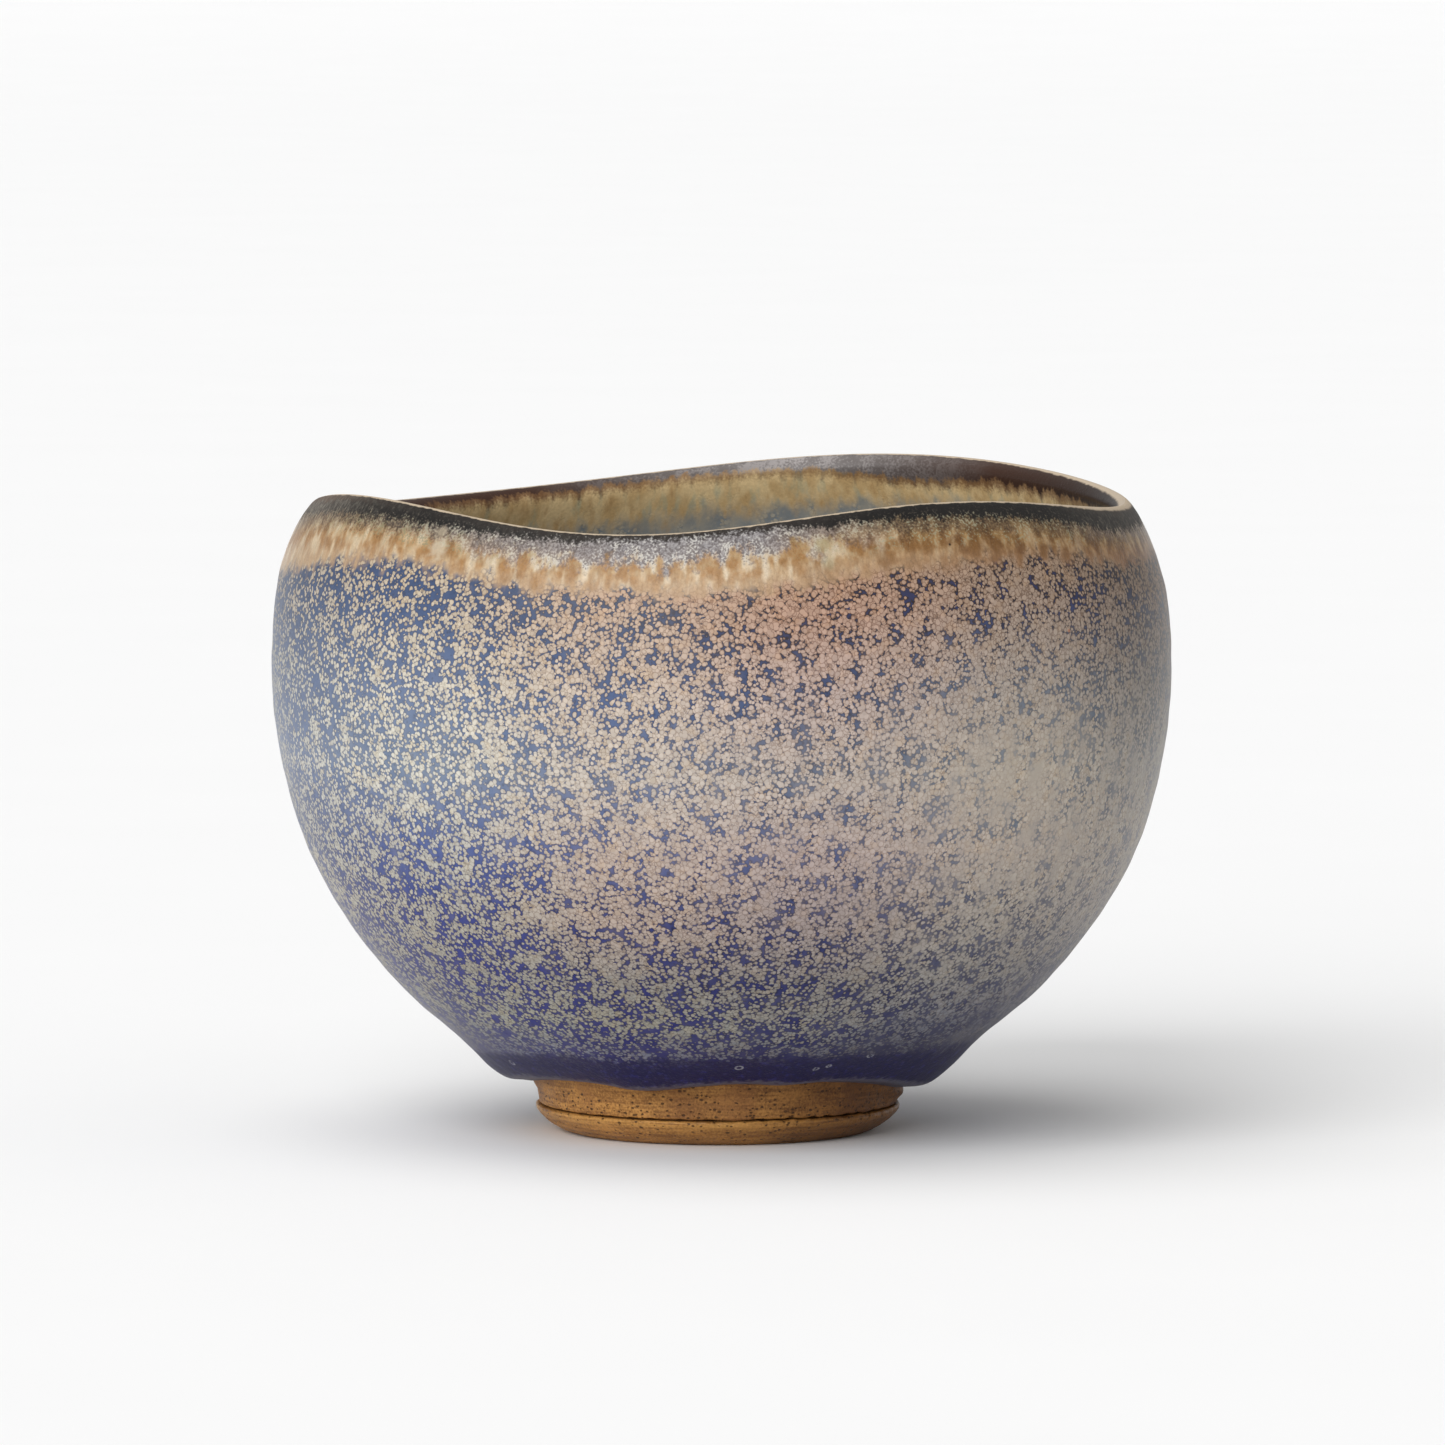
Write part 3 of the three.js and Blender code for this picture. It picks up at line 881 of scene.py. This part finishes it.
def cobalt_band(g, color, roughness):
    """The glossy cobalt that gathered above the lower edge, with its pale fringe and burst bubbles."""
    rise = g.field("above_heel")
    run = g.noise(1.3, detail=3.0, stretch=(1, 1, 0.6), swing=2.4)
    thinner = g.times(g.until(g.coordinate("X"), -36.0, -18.0), 2.5)
    band = g.until(g.plus(rise, run, g.noise(0.5, detail=2.0, swing=1.2), thinner), 9.6, 11.6)
    streak = g.fade(g.noise(0.7, detail=3.0, stretch=(1, 1, 0.3), seed=3), 0.05, 0.5)
    deep = g.mix(g.times(streak, 0.5), COBALT, COBALT_STREAK)
    lower = g.fade(rise, 5.0, 12.0)
    color = g.mix(g.times(band, g.between(lower, 0.97, 0.8)), color, deep)
    fringe = g.until(g.plus(rise, g.noise(0.8, detail=2.0, swing=1.4)), 2.6, 3.8)
    color = g.mix(g.times(fringe, 0.6), color, HEEL_FRINGE)
    for degrees, height, size in BURST_BUBBLES:
        off_ring = g.math("ABSOLUTE", g.minus(g.away(on_wall(degrees, height)), size))
        ring = g.times(g.until(off_ring, 0.06, 0.2), g.fade(g.noise(0.35), -0.3, 0.1))
        color = g.mix(g.times(ring, 0.8), color, BUBBLE_RIM)
    return color, g.between(band, roughness, 0.42)


def kiln_marks(g, color):
    for degrees, height, radius, strength, tone in KILN_MARKS:
        away = g.plus(g.away(on_wall(degrees, height)), g.noise(0.8, swing=0.5 * radius))
        color = g.mix(g.times(g.until(away, 0.25 * radius, radius), strength), color, tone)
    return color


def lip_outside(g, color, roughness):
    """The iron-rich edge outside: a dark band, frost and celadon under it, then amber drips."""
    depth = g.field("below_lip")
    run = g.noise(1.5, detail=2.0, stretch=(1, 1, 0.16))
    fine_run = g.noise(0.45, detail=2.0, stretch=(1, 1, 0.2))
    patch = g.noise(2.0, detail=2.0)
    dust = g.noise(0.3, detail=2.0)
    right = g.field("right_side")

    edge = g.plus(depth, g.times(run, 2.0), g.times(patch, 2.2))
    amber_share = g.until(g.minus(edge, g.field("amber_end")), -1.4, 0.9)
    cloud = g.fade(g.plus(run, patch), -0.35, 0.4)
    amber = g.mix(right, g.mix(cloud, *LEFT_AMBER), g.mix(cloud, *RIGHT_AMBER))
    amber = g.mix(g.times(g.fade(edge, 5.0, 8.5), 0.6), amber, g.mix(right, *THIN_AMBER))
    drip = g.times(g.fade(g.plus(run, g.times(patch, 0.3)), 0.0, 0.42), g.fade(depth, 3.2, 4.8))
    pale = g.mix(g.field("frost"), *PALE_DRIP)
    amber = g.mix(g.times(drip, g.between(right, 0.6, 0.2)), amber, pale)
    blots = g.noise(2.6, detail=1.0, stretch=(1, 1, 0.7), seed=4)
    spots = g.times(g.fade(blots, 0.02, 0.3), g.fade(depth, 3.0, 5.0))
    amber = g.mix(g.times(spots, g.between(right, 0.15, 0.5)), amber, BROWN_SPOT)
    off_soot = g.plus(depth, g.times(run, 1.4), g.times(patch, 1.6), dust)
    off_soot = g.minus(off_soot, g.field("soot_width"))
    strength = g.plus(0.4, g.times(g.field("celadon"), 0.6))
    under_soot = g.times(g.until(off_soot, 0.2, 2.6), strength, g.between(right, 1.0, 0.85))
    amber = g.mix(under_soot, amber, g.mix(g.fade(dust, -0.2, 0.3), *UNDER_SOOT))
    amber = g.shade(amber, g.plus(1.0, g.times(dust, 0.2), g.times(fine_run, 0.25)))
    color = g.mix(g.times(amber_share, 0.96), color, amber)

    flecks = g.fade(g.plus(g.times(patch, 0.9), g.times(dust, 1.6)), 0.16, 0.5)
    celadon = g.times(flecks, g.until(depth, 4.8, 7.2), g.field("celadon"))
    color = g.mix(g.times(celadon, g.between(right, 0.8, 0.6)), color, g.mix(right, *CELADON))

    frost_edge = g.plus(depth, g.times(run, -3.2), g.times(fine_run, -1.4))
    frost_edge = g.plus(frost_edge, g.times(patch, 2.2), g.times(dust, 1.4))
    frost = g.times(g.until(frost_edge, 3.4, 5.8), g.field("frost"))
    frost_color = g.mix(g.fade(g.plus(dust, g.times(fine_run, 0.5)), -0.3, 0.3), *FROST)
    more_below = g.times(g.fade(depth, 2.0, 5.0), 0.26)
    flecks = g.fade(g.plus(dust, g.times(patch, 0.7), more_below), 0.14, 0.46)
    frost_color = g.mix(g.times(flecks, 0.85), frost_color, FROST_FLECK)
    color = g.mix(g.times(frost, 0.9), color, frost_color)

    soot_edge = g.plus(depth, g.times(run, 1.0), g.times(dust, 1.0), g.times(fine_run, 0.8))
    soot = g.until(g.minus(soot_edge, g.field("soot_width")), -0.7, 0.5)
    smoke = g.mix(g.fade(fine_run, -0.2, 0.35), *SMOKE)
    ash = g.fade(g.plus(dust, g.times(fine_run, 0.4)), 0.12, 0.4)
    ash = g.times(ash, g.fade(depth, 0.6, 2.6, 0.1, 0.7))
    soot_color = g.mix(g.field("warmth"), g.mix(ash, g.mix(right, *SOOT), ASH), smoke)
    color = g.mix(soot, color, soot_color)
    brown_rim = g.times(g.until(soot_edge, 0.9, 1.6), g.field("warmth"))
    color = g.mix(g.times(brown_rim, 0.7), color, BROWN_RIM)
    roughness = g.between(soot, g.between(amber_share, roughness, 0.3), 0.6)
    return crest_line(g, color), roughness


def lip_inside(g, color, roughness):
    """The iron-rich edge inside: a brown-black band with rusty drips over amber and celadon streaks."""
    depth = g.times(g.field("below_lip"), -1.0)
    run = g.noise(1.4, detail=3.0, stretch=(1, 1, 0.14))
    patch = g.noise(2.6, detail=2.0, stretch=(1, 1, 0.5))
    dust = g.noise(0.32, detail=2.0)
    edge = g.plus(depth, g.times(run, 2.6), g.times(patch, 2.2))
    amber_share = g.until(edge, 5.6, 9.2)
    amber = g.mix(g.fade(patch, -0.3, 0.3), *INNER_AMBER)
    amber = g.mix(g.times(g.fade(run, 0.0, 0.5), 0.6), amber, INNER_CELADON)
    amber = g.mix(g.times(g.until(run, -0.5, -0.1), 0.4), amber, INNER_BROWN)
    amber = g.shade(amber, g.plus(1.0, g.times(dust, 0.2)))
    color = g.mix(amber_share, color, amber)
    soot_edge = g.minus(g.plus(depth, g.times(run, -1.5), g.times(dust, 0.6)), g.field("inner_soot"))
    rust = g.times(g.until(soot_edge, 0.2, 1.7), g.plus(0.5, g.times(g.field("rust"), 0.4)))
    color = g.mix(rust, color, RUST)
    silver = g.mix(g.fade(g.plus(patch, dust), -0.3, 0.4), *SILVER)
    band = g.mix(g.field("rust"), *INNER_SOOT)
    band = g.mix(g.field("silver"), band, silver)
    color = g.mix(g.until(soot_edge, -0.4, 0.3), color, band)
    return crest_line(g, color), g.between(amber_share, roughness, 0.3)


def crest_line(g, color):
    """The thin pale line along the lip's top, where the glaze drew away from the edge. On the front left
    it is widened to stand also for a painted highlight along the crest.
    """
    off_crest = g.math("ABSOLUTE", g.plus(g.field("below_lip"), g.noise(1.0, detail=2.0, swing=0.25)))
    line = g.until(g.math("DIVIDE", off_crest, g.field("crest_width")), 0.7, 1.15)
    return g.mix(g.times(line, 0.9), color, CREST_LINE)


def glaze_relief(g, height):
    return g.plus(height, g.noise(0.35, detail=2.0, swing=0.01), g.noise(2.4, detail=2.0, swing=0.04))


def speckled_glaze():
    g = Graph("speckled_glaze")
    color, height, roughness = speckle(g)
    color, roughness = cobalt_band(g, color, roughness)
    color, roughness = lip_outside(g, color, roughness)
    return g.finish(kiln_marks(g, color), roughness, glaze_relief(g, height))


def inside_glaze():
    g = Graph("inside_glaze")
    color, height, roughness = speckle(g)
    color, roughness = lip_inside(g, color, roughness)
    return g.finish(color, roughness, glaze_relief(g, height))


def iron_glaze():
    g = Graph("iron_glaze")
    color, height, roughness = speckle(g)
    outside, outside_roughness = lip_outside(g, color, roughness)
    inside, inside_roughness = lip_inside(g, color, roughness)
    inner = g.math("LESS_THAN", g.field("below_lip"), 0.0)
    color = g.mix(inner, kiln_marks(g, outside), inside)
    roughness = g.between(inner, outside_roughness, inside_roughness)
    return g.finish(color, roughness, glaze_relief(g, height))


def clay(name, dark, base, bright):
    """Turned stoneware: faint streaks along the turning, rust patches, dark specks and small pits, with
    painted light on its left side and painted shade on its right.
    """
    g = Graph(name)
    up = g.coordinate("Z")
    streak = g.noise(0.8, detail=3.0, stretch=(0.12, 0.12, 2.4))
    cloud = g.noise(2.6, detail=3.0, stretch=(0.6, 0.6, 1.3))
    sand = g.noise(0.3, detail=2.0)
    tone = g.plus(g.times(cloud, 0.6), g.times(streak, 0.8), g.times(sand, 0.6))
    color = g.mix(g.fade(tone, -0.5, 0.4), dark, base)
    rusty = g.fade(g.plus(g.noise(8.0, detail=1.0, seed=5), g.times(cloud, 0.3)), 0.04, 0.34)
    color = g.mix(g.times(rusty, g.fade(up, 3.4, 3.8), 0.5), color, (118, 76, 44))
    across = g.coordinate("X")
    # Painted light: the clay is made lighter on its left side, towards the key light.
    color = g.mix(g.until(across, -14.0, -3.0), color, g.vector("MULTIPLY", color, (1.24, 1.26, 1.24)))
    burnished = g.times(g.fade(up, 1.6, 2.9), g.until(up, 3.3, 3.5))
    color = g.mix(g.times(burnished, g.fade(streak, -0.5, 0.3), 0.6), color, bright)
    # Painted shade: the clay is darkened towards its right side, away from the key light.
    shaded_right = g.vector("MULTIPLY", color, (0.36, 0.29, 0.26))
    color = g.mix(g.times(g.fade(across, -1.0, 17.0), 0.82), color, shaded_right)
    crowd = g.plus(0.26, g.times(g.fade(up, 3.4, 3.9), g.until(up, 4.6, 6.0), 0.4))
    distance, random = g.cells(0.55, g.vector("MULTIPLY", g.place, (1, 1, 1.5)))
    size = g.times(random[1], 0.42)
    speck = g.times(g.until(distance, size, g.plus(size, 0.14)), g.math("LESS_THAN", random[0], crowd))
    color = g.mix(g.times(speck, 0.8), color, (58, 38, 24))
    color = g.shade(color, g.plus(1.0, g.times(sand, 0.3)))
    height = g.plus(g.times(streak, 0.015), g.times(sand, 0.03), g.times(speck, -0.07))
    return g.finish(color, g.plus(g.between(burnished, 0.5, 0.36), g.times(sand, 0.2)), height)


def backdrop_material():
    g = Graph("pale_floor")
    tone = g.plus(0.875, g.noise(60.0, detail=2.0, swing=0.008))
    made = g.node("ShaderNodeCombineColor")
    for socket in made.inputs:
        g.feed(socket, tone)
    return g.finish(made.outputs[0], 0.8)


# ---------------- assembly

clay_material = clay("fired_clay", (122, 82, 44), (168, 120, 64), (190, 142, 78))
slip_material = clay("dark_slip", (54, 36, 22), (92, 62, 36), (118, 84, 48))

for piece, node, slot, material in (
    (speckled_coat(), "outer_glaze", "speckled_glaze", speckled_glaze()),
    (iron_coat(), "rim_glaze", "iron_glaze", iron_glaze()),
    (inside_coat(), "inner_glaze", "inside_glaze", inside_glaze()),
    (thrown_clay(), "clay_body", "fired_clay", clay_material),
    (foot_ring(), "foot_ring", "fired_clay", clay_material),
    (slip_bead(), "luting_slip", "slip", slip_material),
):
    piece.data.materials.append(material)
    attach(piece, "root")
    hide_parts(node)

# ---------------- stage, light and camera

# The floor as (distance from the middle, height), in metres: flat, and rising all round from 4.5 m away,
# so that no horizon shows
FLOOR = (
    (4.5, 0.0), (5.25, 0.01), (6.0, 0.04), (6.75, 0.1),
    (7.5, 0.19), (8.25, 0.3), (9.0, 0.42), (10.0, 0.58),
)
FLOOR_SIDES = 72

# Lights, each as (name, degrees from the front towards the left, elevation, strength). The strengths, and
# the world's, come from a scratch program's least-squares fit to the brightness of the photo's floor.
SUNS = (("key", 29, 30, 2.39), ("top_left", 90, 75, 0.91))
SUN_SPREAD = 50
WORLD_STRENGTH = 0.458

# Distance and elevation were chosen after trying others. A scratch program worked out the tilt and the
# lens from them, so that the bowl has the size and the place that it has in the photo.
CAMERA_DISTANCE = 1.55
FOOT_ELEVATION = math.radians(6.5)
CAMERA_TILT = math.radians(4.575)
LENS = 300.5
SENSOR = 36.0


def floor():
    turn = np.linspace(0.0, 2 * math.pi, FLOOR_SIDES, endpoint=False)
    corners = [(0.0, 0.0, 0.0)]
    for reach, height in FLOOR:
        corners += [(reach * math.cos(a), reach * math.sin(a), height) for a in turn]
    faces = []
    for side in range(FLOOR_SIDES):
        after = (side + 1) % FLOOR_SIDES
        faces.append((0, 1 + side, 1 + after))
        for ring in range(len(FLOOR) - 1):
            near, far = 1 + ring * FLOOR_SIDES, 1 + (ring + 1) * FLOOR_SIDES
            faces.append((near + side, far + side, far + after, near + after))
    mesh = bpy.data.meshes.new("floor")
    mesh.from_pydata(corners, [], faces)
    mesh.shade_smooth()
    mesh.materials.append(backdrop_material())
    stage = bpy.data.objects.new("floor", mesh)
    bpy.context.scene.collection.objects.link(stage)


def sun(name, degrees, elevation, strength):
    light = bpy.data.lights.new(name, "SUN")
    light.energy = strength
    light.angle = math.radians(SUN_SPREAD)
    lamp = bpy.data.objects.new(name, light)
    lamp.rotation_euler = (math.radians(90 - elevation), 0.0, math.radians(-degrees))
    bpy.context.scene.collection.objects.link(lamp)


def studio():
    world = bpy.data.worlds.new("studio")
    world.use_nodes = True
    background = world.node_tree.nodes["Background"]
    background.inputs["Color"].default_value = (1, 1, 1, 1)
    background.inputs["Strength"].default_value = WORLD_STRENGTH
    bpy.context.scene.world = world
    bpy.context.scene.view_settings.view_transform = "Standard"
    for settings in SUNS:
        sun(*settings)


def camera():
    data = bpy.data.cameras.new("camera")
    data.lens = LENS
    data.sensor_width = SENSOR
    data.clip_start = 0.1
    data.clip_end = 100.0
    eye = bpy.data.objects.new("camera", data)
    eye.location = (0.0, -CAMERA_DISTANCE, CAMERA_DISTANCE * math.tan(FOOT_ELEVATION))
    eye.rotation_euler = (math.pi / 2 - CAMERA_TILT, 0.0, 0.0)
    bpy.context.scene.collection.objects.link(eye)
    bpy.context.scene.camera = eye


floor()
studio()
camera()
